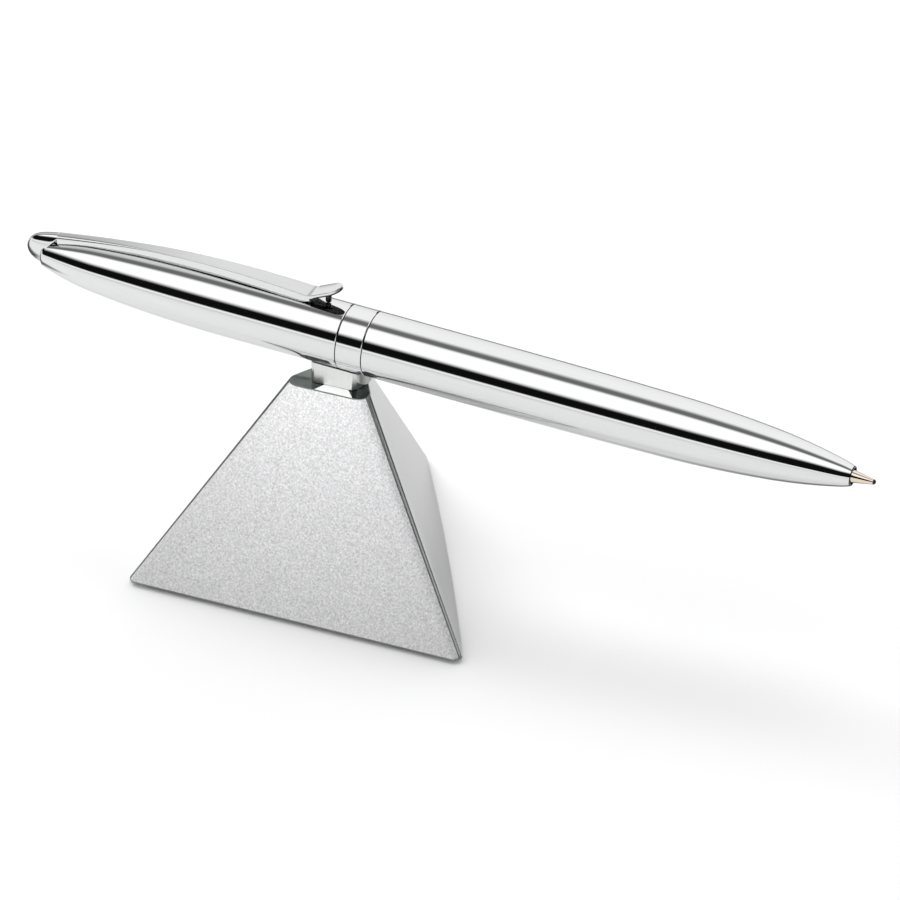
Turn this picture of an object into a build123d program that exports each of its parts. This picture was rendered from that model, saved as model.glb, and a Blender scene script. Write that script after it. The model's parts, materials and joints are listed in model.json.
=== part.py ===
from build123d import *
import math
import os

# Magnetic desk pen stand: a three-sided metal frustum, a cradled magnet post on its top
# and a twist-action ballpoint pen lying in the cradle. Front face towards -Y, pen tip towards +X.

# Frustum, as a section at the rim and a section at the top
base_width = 56.4
base_depth = 51.0
base_front = -16.9
base_corner_radius = 1.2
top_width = 15.4
top_depth = 12.6
top_front = -3.7
top_corner_radius = 1.8
rear_face_bow = 0.6
rim_height = 0.3
top_height = 33.5
top_edge_radius = 0.3
rim_edge_radius = 0.3

# Hollow under the frustum
roof_thickness = 8.5
cavity_wall = 2.2
ledge_width = 1.6
inner_corner_radius = 0.8
inner_wall_bow = 0.1

# Foot: rubber pad and steel plate in the recess of the rim
pad_thickness = 1.0
plate_thickness = 2.0
rim_wall = 1.8
recess_clearance = 0.1

# Plate screws, one in each corner
screw_corner_reach = 0.60
boss_radius = 2.6
boss_height = 6.0
plate_screw_radius = 1.25
plate_screw_length = 6.0
plate_screw_head_radius = 2.4
plate_screw_socket_radius = 0.9
plate_screw_socket_depth = 1.0
screw_clearance = 0.1

# Post with its cradle, spigot and magnet
post_x = 0.5
post_y = 1.4
post_radius = 4.5
post_flat_offset = 3.25
spigot_radius = 3.0
spigot_length = 5.0
spigot_clearance = 0.05
cradle_clearance = 0.1
magnet_radius = 2.4
magnet_thickness = 2.6
magnet_recess = 0.3
magnet_clearance = 0.05

# Fixing screw of the post, from inside the frustum
post_screw_radius = 1.5
post_screw_engagement = 2.4
post_screw_head_radius = 2.75
post_screw_head_height = 1.8
washer_radius = 3.2
washer_thickness = 0.6
hex_socket_radius = 1.25
hex_socket_depth = 1.0

# Pen: stations are measured along its axis from the end of the crown
pen_radius = 5.0
pen_rise = 7.3
pen_slope = 3.0
post_station = 51.8
crown_length = 2.5
crown_radius = 2.5
crown_rise = 0.7
clip_ring_length = 0.9
upper_barrel_back_radius = 2.1
upper_barrel_nose_station = 11.9
upper_barrel_nose_radius = 3.9
upper_barrel_full_station = 33.7
band_station = 52.8
band_length = 4.2
seam_gap = 0.1
seam_chamfer = 0.14
grip_start_station = 78.0
grip_station = 105.0
grip_radius = 4.74
taper_station = 120.3
taper_radius = 3.83
lip_station = 131.4
lip_radius = 2.0
mouth_station = 133.0
mouth_edge_radius = 1.5
mouth_bore_radius = 1.3

# Bores and inner tubes of the pen
running_clearance = 0.05
bush_outer_radius = 4.15
bush_inner_radius = 3.0
bush_back_station = 46.0
bush_front_station = 69.5
cam_bore_radius = 3.6
cam_bore_station = 15.5
refill_bore_radius = 2.6
nose_bore_length = 11.0
cam_back_station = 16.0
cam_front_station = 44.0
cam_inner_radius = 2.6
guide_outer_radius = 2.5
guide_inner_radius = 2.0
guide_back_station = 20.0
guide_front_station = 56.0

# Twist drive: turning the cap by the twist angle draws the refill back by the travel
refill_travel = 5.5
twist_angle = 110.0
cam_slot_steps = 24
pin_station = 32.0
pin_radius = 0.45
pin_clearance = 0.12
pin_root = 0.6
pin_reach = 3.3
plunger_back_station = 24.5
plunger_front_station = 36.0
plunger_socket_depth = 3.0

# Refill
plug_spigot_radius = 1.15
plug_head_length = 3.0
plug_stub_length = 3.0
tube_outer_radius = 1.5
tube_inner_radius = 1.2
tube_front_gap = 5.0
ink_back_station = 60.0
tip_stub_length = 5.0
tip_body_radius = 1.15
tip_cone_station = 132.6
tip_cone_radius = 1.0
tip_mouth_radius = 0.42
ink_duct_radius = 0.25
ball_radius = 0.4
ball_station = 136.1
ball_clearance = 0.02

# Clip
stud_radius = 1.2
stud_length = 8.0
strap_neck_width = 1.8
strap_neck_station = 18.0
strap_width = 3.2
strap_thickness = 0.85
strap_root_height = 3.35
strap_middle_station = 27.0
strap_middle_height = 6.45
strap_fold_station = 46.8
strap_fold_height = 6.2
tongue_reach = 4.6
tongue_angle = 26.0
nub_reach = 2.7
nub_radius = 0.45
nub_gap = 0.1
clip_gap = 0.2
hinge_gap = 0.05

os.makedirs("parts", exist_ok=True)

# Derived places
base_section = (base_width, base_depth, base_front)
top_section = (top_width, top_depth, top_front)
pen_axis_height = top_height + pen_rise
cavity_top = top_height - roof_thickness
pad_top = pad_thickness
plate_top = pad_top + plate_thickness
barrel_back_station = crown_length + clip_ring_length
strap_start = barrel_back_station + hinge_gap
tongue_end = strap_fold_station + tongue_reach
nub_station = strap_fold_station + nub_reach
refill_bore_station = mouth_station - nose_bore_length
tube_front_station = refill_bore_station - tube_front_gap
band_end_station = band_station + band_length
lower_barrel_station = band_end_station + seam_gap
bush_bore_radius = bush_outer_radius + running_clearance
cradle_radius = pen_radius + cradle_clearance
pen_direction = Vector(1, 0, 0).rotate(Axis.Y, pen_slope)
pen_up = Vector(0, 0, 1).rotate(Axis.Y, pen_slope)
post_point = Vector(post_x, post_y, pen_axis_height)
pen_start = post_point - pen_direction * post_station
pen_axis = Axis(pen_start, pen_direction)
pen_side = Plane(origin=pen_start, x_dir=pen_direction, z_dir=(0, -1, 0))
pen_top = Plane(origin=pen_start, x_dir=pen_direction, z_dir=pen_up)


def pen_section(station):
    """Plane across the pen at a station, with its local Y pointing up."""
    return Plane(origin=pen_start + pen_direction * station, x_dir=(0, 1, 0), z_dir=pen_direction)


def section_at(height):
    """Width, depth and front of the frustum at a height between the rim and the top."""
    share = (height - rim_height) / (top_height - rim_height)
    return tuple(low + (high - low) * share for low, high in zip(base_section, top_section))


def inset_section(section, inset):
    """The same triangle with its three sides moved inwards."""
    width, depth, front = section
    side = math.hypot(width / 2, depth)
    inradius = width * depth / (width + 2 * side)
    scale = 1 - inset / inradius
    return (width * scale, depth * scale, front + inset)


def triangle_outline(section, corner_radius, bow):
    """Straight front edge, two rear edges bowed outwards, three rounded corners."""
    width, depth, front = section
    side = math.hypot(width / 2, depth)
    bow_x = width / 4 + bow * depth / side
    bow_y = front + depth / 2 + bow * width / 2 / side
    left = (-width / 2, front)
    right = (width / 2, front)
    back = (0, front + depth)
    with BuildSketch() as outline:
        with BuildLine():
            Line(left, right)
            ThreePointArc(right, (bow_x, bow_y), back)
            ThreePointArc(back, (-bow_x, bow_y), left)
        make_face()
        fillet(outline.vertices(), corner_radius)
    return outline.sketch


def corner_points(section, reach):
    """Points on the lines from the middle of a triangle to its corners."""
    width, depth, front = section
    side = math.hypot(width / 2, depth)
    middle = front + width * depth / (width + 2 * side)
    corners = [(-width / 2, front), (width / 2, front), (0, front + depth)]
    return [(x * reach, middle + (y - middle) * reach) for x, y in corners]


def strap_outline(margin):
    """Plan of the clip strap, widened by a margin: straight neck, flare and round tongue."""
    neck = strap_neck_width / 2 + margin
    half_width = strap_width / 2 + margin
    with BuildSketch() as outline:
        with BuildLine():
            edge = Polyline(
                (strap_start - margin, 0),
                (strap_start - margin, neck),
                (strap_neck_station, neck),
                (strap_fold_station, half_width),
                (tongue_end - strap_width / 2, half_width),
            )
            TangentArc(edge @ 1, (tongue_end + margin, 0), tangent=(1, 0))
            mirror(about=Plane.XZ)
        make_face()
    return outline.sketch


def tube(back_station, front_station, outer_radius, inner_radius):
    """A plain tube on the pen axis."""
    with BuildPart() as plain_tube:
        with BuildSketch(pen_section(back_station)):
            Circle(outer_radius)
            Circle(inner_radius, mode=Mode.SUBTRACT)
        extrude(amount=front_station - back_station)
    return plain_tube.part


def finish(piece, label):
    """Name a piece and write it to its own file."""
    piece.label = label
    export_step(piece, f"parts/{label}.step")


recess_section = inset_section(base_section, rim_wall)
ledge_section = inset_section(section_at(plate_top), rim_wall + ledge_width)
cavity_section = inset_section(section_at(cavity_top), cavity_wall)
plate_section = inset_section(recess_section, recess_clearance)
screw_points = corner_points(plate_section, screw_corner_reach)
plate_screw_tip = pad_top + plate_screw_length
spigot_bottom = top_height - spigot_length
magnet_top = pen_axis_height - cradle_radius - magnet_recess
magnet_bottom = magnet_top - magnet_thickness
washer_bottom = cavity_top - washer_thickness

# Frustum body
with BuildPart() as pyramid_body:
    with BuildSketch(Plane.XY.offset(rim_height)):
        add(triangle_outline(base_section, base_corner_radius, rear_face_bow))
    with BuildSketch(Plane.XY.offset(top_height)):
        add(triangle_outline(top_section, top_corner_radius, rear_face_bow * top_width / base_width))
    loft()
    fillet(pyramid_body.faces().sort_by(Axis.Z)[-1].edges(), top_edge_radius)
    fillet(pyramid_body.faces().sort_by(Axis.Z)[0].edges(), rim_edge_radius)
    with BuildSketch(Plane.XY.offset(plate_top)):
        add(triangle_outline(ledge_section, inner_corner_radius, inner_wall_bow))
    with BuildSketch(Plane.XY.offset(cavity_top)):
        add(triangle_outline(cavity_section, inner_corner_radius, inner_wall_bow))
    loft(mode=Mode.SUBTRACT)
    with BuildSketch(Plane.XY.offset(plate_top)):
        with Locations(*screw_points):
            Circle(boss_radius)
    extrude(amount=boss_height)
    with BuildSketch(Plane.XY):
        add(triangle_outline(recess_section, inner_corner_radius, rear_face_bow))
    extrude(amount=plate_top, mode=Mode.SUBTRACT)
    with BuildSketch(Plane.XY.offset(plate_top)):
        with Locations(*screw_points):
            Circle(plate_screw_radius + screw_clearance)
    extrude(amount=plate_screw_tip - plate_top + screw_clearance, mode=Mode.SUBTRACT)
    with BuildSketch(Plane.XY.offset(spigot_bottom - spigot_clearance)):
        with Locations((post_x, post_y)):
            Circle(spigot_radius + spigot_clearance)
    extrude(until=Until.LAST, mode=Mode.SUBTRACT)
    with BuildSketch(Plane.XY.offset(cavity_top)):
        with Locations((post_x, post_y)):
            Circle(post_screw_radius + screw_clearance)
    extrude(amount=spigot_bottom - cavity_top, mode=Mode.SUBTRACT)
finish(pyramid_body.part, "pyramid_body")

# Steel base plate with countersunk holes from below
with BuildPart() as base_plate:
    with BuildSketch(Plane.XY.offset(pad_top)):
        add(triangle_outline(plate_section, inner_corner_radius, rear_face_bow))
    extrude(amount=plate_thickness)
    with Locations(*[Location((x, y, pad_top), (180, 0, 0)) for x, y in screw_points]):
        CounterSinkHole(plate_screw_radius + screw_clearance, plate_screw_head_radius + screw_clearance)
finish(base_plate.part, "base_plate")

# Three countersunk screws through the plate
with BuildPart() as base_plate_screws:
    with BuildSketch(Plane.XZ) as screw_profile:
        with BuildLine():
            Polyline(
                (0, pad_top),
                (plate_screw_head_radius, pad_top),
                (plate_screw_radius, pad_top + plate_screw_head_radius - plate_screw_radius),
                (plate_screw_radius, plate_screw_tip),
                (0, plate_screw_tip),
                close=True,
            )
        make_face()
    with Locations(*screw_points):
        add(revolve(screw_profile.sketch, axis=Axis.Z, mode=Mode.PRIVATE))
    with BuildSketch(Plane.XY.offset(pad_top)):
        with Locations(*screw_points):
            RegularPolygon(plate_screw_socket_radius, 6)
    extrude(amount=plate_screw_socket_depth, mode=Mode.SUBTRACT)
finish(base_plate_screws.part, "base_plate_screws")

# Rubber pad under the plate
with BuildPart() as base_pad:
    with BuildSketch(Plane.XY):
        add(triangle_outline(plate_section, inner_corner_radius, rear_face_bow))
    extrude(amount=pad_thickness)
finish(base_pad.part, "base_pad")

# Post: round with a flat on each long side, cradle on top, spigot below
with BuildPart() as post:
    with BuildSketch(Plane.XY.offset(top_height)):
        with Locations((post_x, post_y)):
            Circle(post_radius)
            Rectangle(2 * post_radius, 2 * post_flat_offset, mode=Mode.INTERSECT)
    extrude(amount=pen_axis_height - top_height)
    with BuildSketch(pen_section(post_station - 2 * post_radius)):
        Circle(cradle_radius)
    extrude(amount=4 * post_radius, mode=Mode.SUBTRACT)
    with BuildSketch(Plane.XY.offset(spigot_bottom)):
        with Locations((post_x, post_y)):
            Circle(spigot_radius)
    extrude(amount=spigot_length)
    with BuildSketch(Plane.XY.offset(magnet_bottom)):
        with Locations((post_x, post_y)):
            Circle(magnet_radius + magnet_clearance)
    extrude(amount=pen_radius, mode=Mode.SUBTRACT)
    with BuildSketch(Plane.XY.offset(spigot_bottom)):
        with Locations((post_x, post_y)):
            Circle(post_screw_radius + screw_clearance)
    extrude(amount=post_screw_engagement + screw_clearance, mode=Mode.SUBTRACT)
finish(post.part, "post")

# Disc magnet in the floor of the cradle
with BuildPart() as magnet:
    with BuildSketch(Plane.XY.offset(magnet_bottom)):
        with Locations((post_x, post_y)):
            Circle(magnet_radius)
    extrude(amount=magnet_thickness)
finish(magnet.part, "magnet")

# Spring washer and socket screw that hold the post from inside
with BuildPart() as post_washer:
    with BuildSketch(Plane.XY.offset(washer_bottom)):
        with Locations((post_x, post_y)):
            Circle(washer_radius)
            Circle(post_screw_radius + screw_clearance, mode=Mode.SUBTRACT)
    extrude(amount=washer_thickness)
finish(post_washer.part, "post_washer")

with BuildPart() as post_screw:
    with BuildSketch(Plane.XY.offset(washer_bottom - post_screw_head_height)):
        with Locations((post_x, post_y)):
            Circle(post_screw_head_radius)
    extrude(amount=post_screw_head_height)
    with BuildSketch(Plane.XY.offset(washer_bottom)):
        with Locations((post_x, post_y)):
            Circle(post_screw_radius)
    extrude(amount=spigot_bottom + post_screw_engagement - washer_bottom)
    with BuildSketch(Plane.XY.offset(washer_bottom - post_screw_head_height)):
        with Locations((post_x, post_y)):
            RegularPolygon(hex_socket_radius, 6)
    extrude(amount=hex_socket_depth, mode=Mode.SUBTRACT)
finish(post_screw.part, "post_screw")

# Lower barrel: long cylinder, ogive taper, rounded lip at the mouth
with BuildPart() as lower_barrel:
    with BuildSketch(pen_side):
        with BuildLine():
            grip_start = (grip_start_station, pen_radius)
            grip = TangentArc(grip_start, (grip_station, grip_radius), tangent=(1, 0))
            taper = TangentArc(grip @ 1, (taper_station, taper_radius), tangent=grip % 1)
            nose = TangentArc(taper @ 1, (lip_station, lip_radius), tangent=taper % 1)
            lip = TangentArc(nose @ 1, (mouth_station, mouth_edge_radius), tangent=nose % 1)
            Polyline(
                lip @ 1,
                (mouth_station, mouth_bore_radius),
                (refill_bore_station, mouth_bore_radius),
                (refill_bore_station, refill_bore_radius),
                (bush_front_station, refill_bore_radius),
                (bush_front_station, bush_bore_radius),
                (lower_barrel_station, bush_bore_radius),
                (lower_barrel_station, pen_radius - seam_chamfer),
                (lower_barrel_station + seam_chamfer, pen_radius),
                grip_start,
            )
        make_face()
    revolve(axis=pen_axis)
finish(lower_barrel.part, "lower_barrel")

# Centre band between the barrels
with BuildPart() as centre_band:
    add(tube(band_station + seam_gap, band_end_station, pen_radius, bush_bore_radius))
    chamfer(centre_band.edges().filter_by(GeomType.CIRCLE).group_by(SortBy.RADIUS)[-1], seam_chamfer)
finish(centre_band.part, "centre_band")

# Brass bush: holds the lower barrel and the band, and carries the turning cap
with BuildPart() as barrel_bush:
    add(tube(bush_back_station, bush_front_station, bush_outer_radius, bush_inner_radius))
finish(barrel_bush.part, "barrel_bush")

# Guide sleeve with a straight slot, fixed in the bush
with BuildPart() as guide_sleeve:
    guide_collar_radius = bush_inner_radius - running_clearance
    add(tube(guide_back_station, guide_front_station, guide_outer_radius, guide_inner_radius))
    add(tube(bush_back_station, guide_front_station, guide_collar_radius, guide_inner_radius))
    slot_middle = pin_station - refill_travel / 2
    slot_width = 2 * (pin_radius + pin_clearance)
    with BuildSketch(pen_top):
        with Locations((slot_middle, 0)):
            SlotOverall(refill_travel + slot_width, slot_width)
    extrude(amount=cam_bore_radius, mode=Mode.SUBTRACT)
finish(guide_sleeve.part, "guide_sleeve")

# Space that the clip strap lies in, along the top of the upper barrel
with BuildPart() as strap_slot:
    with BuildSketch(pen_side):
        with BuildLine():
            under_drop = strap_thickness + clip_gap
            slot_floor = ThreePointArc(
                (strap_start - clip_gap, strap_root_height - under_drop),
                (strap_middle_station, strap_middle_height - under_drop),
                (strap_fold_station, strap_fold_height - under_drop),
            )
            Polyline(
                slot_floor @ 1,
                (strap_fold_station, 2 * pen_radius),
                (strap_start - clip_gap, 2 * pen_radius),
                slot_floor @ 0,
            )
        make_face()
    extrude(amount=strap_width, both=True)
    with BuildSketch(pen_top):
        add(strap_outline(clip_gap))
    extrude(amount=2 * pen_radius, mode=Mode.INTERSECT)

# Upper barrel, rounded off towards the crown, with the slot that the clip lies in
with BuildPart() as upper_barrel:
    with BuildSketch(pen_side):
        with BuildLine():
            full = (upper_barrel_full_station, pen_radius)
            shoulder = TangentArc(
                full, (upper_barrel_nose_station, upper_barrel_nose_radius), tangent=(-1, 0)
            )
            back = TangentArc(
                shoulder @ 1, (barrel_back_station, upper_barrel_back_radius), tangent=shoulder % 1
            )
            Polyline(
                back @ 1,
                (barrel_back_station, stud_radius + running_clearance),
                (cam_bore_station, stud_radius + running_clearance),
                (cam_bore_station, cam_bore_radius),
                (bush_back_station - seam_gap, cam_bore_radius),
                (bush_back_station - seam_gap, bush_bore_radius),
                (band_station, bush_bore_radius),
                (band_station, pen_radius - seam_chamfer),
                (band_station - seam_chamfer, pen_radius),
                full,
            )
        make_face()
    revolve(axis=pen_axis)
    add(strap_slot.part, mode=Mode.SUBTRACT)
finish(upper_barrel.part, "upper_barrel")

# Crown: round hood set above the pen axis, with a stud that screws into the upper barrel
with BuildPart() as crown:
    with BuildSketch(pen_side):
        with BuildLine():
            hood = TangentArc((0, crown_rise), (crown_length, crown_rise + crown_radius), tangent=(0, 1))
            Polyline(hood @ 1, (crown_length, crown_rise), hood @ 0)
        make_face()
    revolve(axis=Axis(pen_start + pen_up * crown_rise, pen_direction))
    with BuildSketch(pen_section(crown_length)):
        Circle(stud_radius)
    extrude(amount=stud_length)
finish(crown.part, "crown")

# Ring of the clip, clamped under the crown; the strap springs from its top
with BuildPart() as clip_ring:
    with BuildSketch(pen_section(crown_length)):
        with Locations((0, crown_rise)):
            Circle(crown_radius)
        Circle(stud_radius + running_clearance, mode=Mode.SUBTRACT)
    extrude(amount=clip_ring_length)
finish(clip_ring.part, "clip_ring")

# Clip strap: arched spring strip, its end bent up into a rounded tongue, a nub on the barrel
with BuildPart() as clip_strap:
    tongue_rise = tongue_reach * math.tan(math.radians(tongue_angle))
    with BuildSketch(pen_side):
        with BuildLine():
            top_line = ThreePointArc(
                (strap_start, strap_root_height),
                (strap_middle_station, strap_middle_height),
                (strap_fold_station, strap_fold_height),
            )
            under_line = ThreePointArc(
                (strap_start, strap_root_height - strap_thickness),
                (strap_middle_station, strap_middle_height - strap_thickness),
                (strap_fold_station, strap_fold_height - strap_thickness),
            )
            Line(top_line @ 0, under_line @ 0)
            Polyline(
                top_line @ 1,
                (tongue_end, strap_fold_height + tongue_rise),
                (tongue_end, strap_fold_height + tongue_rise - strap_thickness),
                under_line @ 1,
            )
        make_face()
    extrude(amount=strap_width / 2, both=True)
    with BuildSketch(pen_top):
        add(strap_outline(0))
    extrude(amount=2 * pen_radius, mode=Mode.INTERSECT)
    with BuildSketch(pen_side):
        with BuildLine():
            nub_bottom = pen_radius + nub_gap
            nub_rise = tongue_rise * nub_reach / tongue_reach
            nub_top = strap_fold_height + nub_rise - strap_thickness / 2
            nub_round = TangentArc(
                (nub_station, nub_bottom),
                (nub_station + nub_radius, nub_bottom + nub_radius / 2),
                tangent=(1, 0),
            )
            Polyline(
                nub_round @ 1,
                (nub_station + nub_radius, nub_top),
                (nub_station, nub_top),
                nub_round @ 0,
            )
        make_face()
    revolve(axis=Axis(pen_side.from_local_coords((nub_station, 0, 0)), pen_up))
finish(clip_strap.part, "clip_strap")

# Cam sleeve with a helical slot, fixed in the upper barrel
with BuildPart() as cam_sleeve:
    add(tube(cam_back_station, cam_front_station, cam_bore_radius - running_clearance, cam_inner_radius))
    for step in range(cam_slot_steps + 1):
        share = step / cam_slot_steps
        turn = Vector(pen_up).rotate(Axis((0, 0, 0), pen_direction), -twist_angle * share)
        slot_point = pen_start + pen_direction * (pin_station - refill_travel * share)
        with BuildSketch(Plane(origin=slot_point, z_dir=turn)):
            Circle(pin_radius + pin_clearance)
        extrude(amount=cam_bore_radius + running_clearance, mode=Mode.SUBTRACT)
finish(cam_sleeve.part, "cam_sleeve")

# Plunger that slides in the guide sleeve
with BuildPart() as drive_plunger:
    with BuildSketch(pen_section(plunger_back_station)):
        Circle(guide_inner_radius - running_clearance)
    extrude(amount=plunger_front_station - plunger_back_station)
    with BuildSketch(pen_section(plunger_front_station - plunger_socket_depth)):
        Circle(plug_spigot_radius + running_clearance)
    extrude(amount=plunger_socket_depth, mode=Mode.SUBTRACT)
    with BuildSketch(pen_top.offset(pin_root)):
        with Locations((pin_station, 0)):
            Circle(pin_radius)
    extrude(amount=guide_inner_radius, mode=Mode.SUBTRACT)
finish(drive_plunger.part, "drive_plunger")

# Drive pin through the straight slot and the helical slot
with BuildPart() as drive_pin:
    with BuildSketch(pen_top.offset(pin_root)):
        with Locations((pin_station, 0)):
            Circle(pin_radius)
    extrude(amount=pin_reach - pin_root)
finish(drive_pin.part, "drive_pin")

# Refill: plug, tube, ink, tip and ball
plug_back_station = plunger_front_station - plunger_socket_depth
tube_back_station = plunger_front_station + plug_head_length
plug_front_station = tube_back_station + plug_stub_length

with BuildPart() as refill_plug:
    with BuildSketch(pen_section(plug_back_station)):
        Circle(plug_spigot_radius)
    extrude(amount=plug_front_station - plug_back_station)
    with BuildSketch(pen_section(plunger_front_station)):
        Circle(tube_outer_radius)
    extrude(amount=plug_head_length)
finish(refill_plug.part, "refill_plug")

with BuildPart() as refill_tube:
    add(tube(tube_back_station, tube_front_station, tube_outer_radius, tube_inner_radius))
finish(refill_tube.part, "refill_tube")

tip_back_station = tube_front_station - tip_stub_length

with BuildPart() as ink_column:
    with BuildSketch(pen_section(ink_back_station)):
        Circle(tube_inner_radius - ball_clearance)
    extrude(amount=tip_back_station - ink_back_station)
finish(ink_column.part, "ink_column")

with BuildPart() as refill_tip:
    with BuildSketch(pen_side):
        with BuildLine():
            Polyline(
                (tip_back_station, ink_duct_radius),
                (tip_back_station, tip_body_radius),
                (tip_cone_station, tip_body_radius),
                (tip_cone_station, tip_cone_radius),
                (ball_station, tip_mouth_radius),
                (ball_station, ink_duct_radius),
                close=True,
            )
        make_face()
    revolve(axis=pen_axis)
    with Locations(pen_start + pen_direction * ball_station):
        Sphere(ball_radius + ball_clearance, mode=Mode.SUBTRACT)
finish(refill_tip.part, "refill_tip")

with BuildPart() as writing_ball:
    with Locations(pen_start + pen_direction * ball_station):
        Sphere(ball_radius)
finish(writing_ball.part, "writing_ball")
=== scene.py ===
import json
import math
import bmesh
import bpy
import numpy as np
from mathutils import Matrix, Vector


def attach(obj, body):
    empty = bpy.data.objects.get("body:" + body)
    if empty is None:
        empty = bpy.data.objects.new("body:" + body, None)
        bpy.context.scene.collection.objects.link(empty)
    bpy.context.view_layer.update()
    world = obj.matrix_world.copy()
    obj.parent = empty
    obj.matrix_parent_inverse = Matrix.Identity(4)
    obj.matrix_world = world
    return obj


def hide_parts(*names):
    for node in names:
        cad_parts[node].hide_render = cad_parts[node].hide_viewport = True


# Desk pen stand: blasted and polished metal frustum, chromed post, chromed twist ballpoint pen
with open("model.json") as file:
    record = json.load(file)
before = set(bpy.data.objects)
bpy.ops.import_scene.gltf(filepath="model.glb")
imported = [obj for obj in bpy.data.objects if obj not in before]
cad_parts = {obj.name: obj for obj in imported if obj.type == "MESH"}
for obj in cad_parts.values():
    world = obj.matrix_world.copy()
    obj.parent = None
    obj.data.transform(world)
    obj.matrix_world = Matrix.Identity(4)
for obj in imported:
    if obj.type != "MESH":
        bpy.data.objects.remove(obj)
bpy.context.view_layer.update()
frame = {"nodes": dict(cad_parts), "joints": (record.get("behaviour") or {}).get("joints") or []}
cadNodes = frame["nodes"]
mm = 0.001
print("frame loaded:", len(cadNodes), "nodes")

# the twist joint lies on the pen's axis, above the post, and stations count from the end of the crown
penPlace = {"postStation": 51.8}
twistJoint = next(joint for joint in frame["joints"] if joint["name"] == "cap_twist")
penAlong = np.array(twistJoint["axis"]) / np.linalg.norm(twistJoint["axis"])
penAcross = np.array([0.0, 1.0, 0.0])
penUp = np.cross(penAlong, penAcross)
postPoint = np.array(twistJoint["pos_m"]) / mm
penStart = postPoint - penAlong * penPlace["postStation"]
penSlope = math.atan2(-penAlong[2], penAlong[0])


def penPoints(station, across, height):
    # point = start of the pen + station along its axis + distance across it + height above the axis
    station, across, height = np.broadcast_arrays(station, across, height)
    return (penStart + station[..., None] * penAlong + across[..., None] * penAcross
            + height[..., None] * penUp)


def smoothRise(value, low, high):
    # share = 0 below low, 1 above high, and 3 q^2 - 2 q^3 of the way q between them
    q = np.clip((value - low) / (high - low), 0.0, 1.0)
    return q * q * (3.0 - 2.0 * q)


def easedSteps(count):
    # shares from 0 to 1 that crowd at both ends: half of 1 - cos of an even sweep over half a turn
    return 0.5 - 0.5 * np.cos(np.linspace(0.0, math.pi, count))


def pairUp(first, second):
    # rows of (first, second)
    return np.stack([first, second], axis=1)


def unitTurn(angle):
    # unit vectors at the angles: (cos angle, sin angle)
    return pairUp(np.cos(angle), np.sin(angle))


def quarterTurn(count):
    # even angles from 0 to a right angle
    return np.linspace(0.0, math.pi / 2, count)


def tangentArc(start, end, heading, count):
    # arc that leaves start along heading: its centre lies on the normal there,
    # at radius = chord squared / (2 x chord measured along that normal)
    start, end, heading = np.array(start), np.array(end), np.array(heading) / np.linalg.norm(heading)
    normal = np.array([-heading[1], heading[0]])
    chord = end - start
    radius = chord @ chord / (2.0 * chord @ normal)
    centre = start + normal * radius
    first = math.atan2(*(start - centre)[::-1])
    turn = 2.0 * math.atan2(chord @ normal, chord @ heading)
    angle = first + turn * np.linspace(0.0, 1.0, count)
    points = centre + abs(radius) * unitTurn(angle)
    cosTurn, sinTurn = math.cos(turn), math.sin(turn)
    endHeading = np.array([[cosTurn, -sinTurn], [sinTurn, cosTurn]]) @ heading
    return points, endHeading


def circleThrough(first, second, third):
    # centre = the point as far from the first as from the second and the third, by two linear equations
    first, second, third = np.array(first), np.array(second), np.array(third)
    rows = 2.0 * np.array([second - first, third - first])
    centre = np.linalg.solve(rows, np.array([second @ second - first @ first, third @ third - first @ first]))
    return centre, np.linalg.norm(first - centre)


def evenTurn(steps):
    # angles of even steps round a whole turn
    return np.arange(steps) * 2.0 * math.pi / steps


def revolve(profile, steps):
    # surface(row, angle): station from the profile, across = radius cos angle, height = radius sin angle
    angle = evenTurn(steps)
    station, radius = profile[:, :1], profile[:, 1:]
    return penPoints(station, radius * np.cos(angle), radius * np.sin(angle))


def frontedOutline(cornerX, front, steps, stretches):
    # straight front edge between the corners, then arcs by the angle of the outward normal, each from its
    # first angle to its last by shares; returns the points and the outward normals
    frontX = cornerX * (2 * easedSteps(steps + 1)[:-1] - 1)
    points = [pairUp(frontX, np.full_like(frontX, front))]
    angles = [np.full_like(frontX, -math.pi / 2)]
    for centre, radius, first, last, share in stretches:
        angle = first + (last - first) * share
        points.append(np.array(centre) + radius * unitTurn(angle))
        angles.append(angle)
    return np.concatenate(points), unitTurn(np.concatenate(angles))


def levelRows(outlines, heights):
    # stack of outlines in plan, each lifted to its height, which may change along the outline
    outlines = np.stack(outlines)
    heights = np.stack([np.broadcast_to(height, outlines.shape[1]) for height in heights])
    return np.concatenate([outlines, heights[..., None]], axis=2)


def quadIndex(rows, columns, closeRows):
    # faces of a grid whose columns wrap round, and whose rows do too if asked
    place = np.arange(rows * columns).reshape(rows, columns)
    lower = place if closeRows else place[:-1]
    upper = np.roll(place, -1, axis=0) if closeRows else place[1:]
    return np.stack([lower, np.roll(lower, -1, axis=1), np.roll(upper, -1, axis=1), upper], axis=2)


def addObject(name, data):
    # new object in the scene
    added = bpy.data.objects.new(name, data)
    bpy.context.scene.collection.objects.link(added)
    return added


# meshes: distances in metres under which points are joined and slivers go, angle in degrees of a crisp edge
meshing = {"join": 2e-7, "sliver": 1e-8, "crisp": 38.0}


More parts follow.
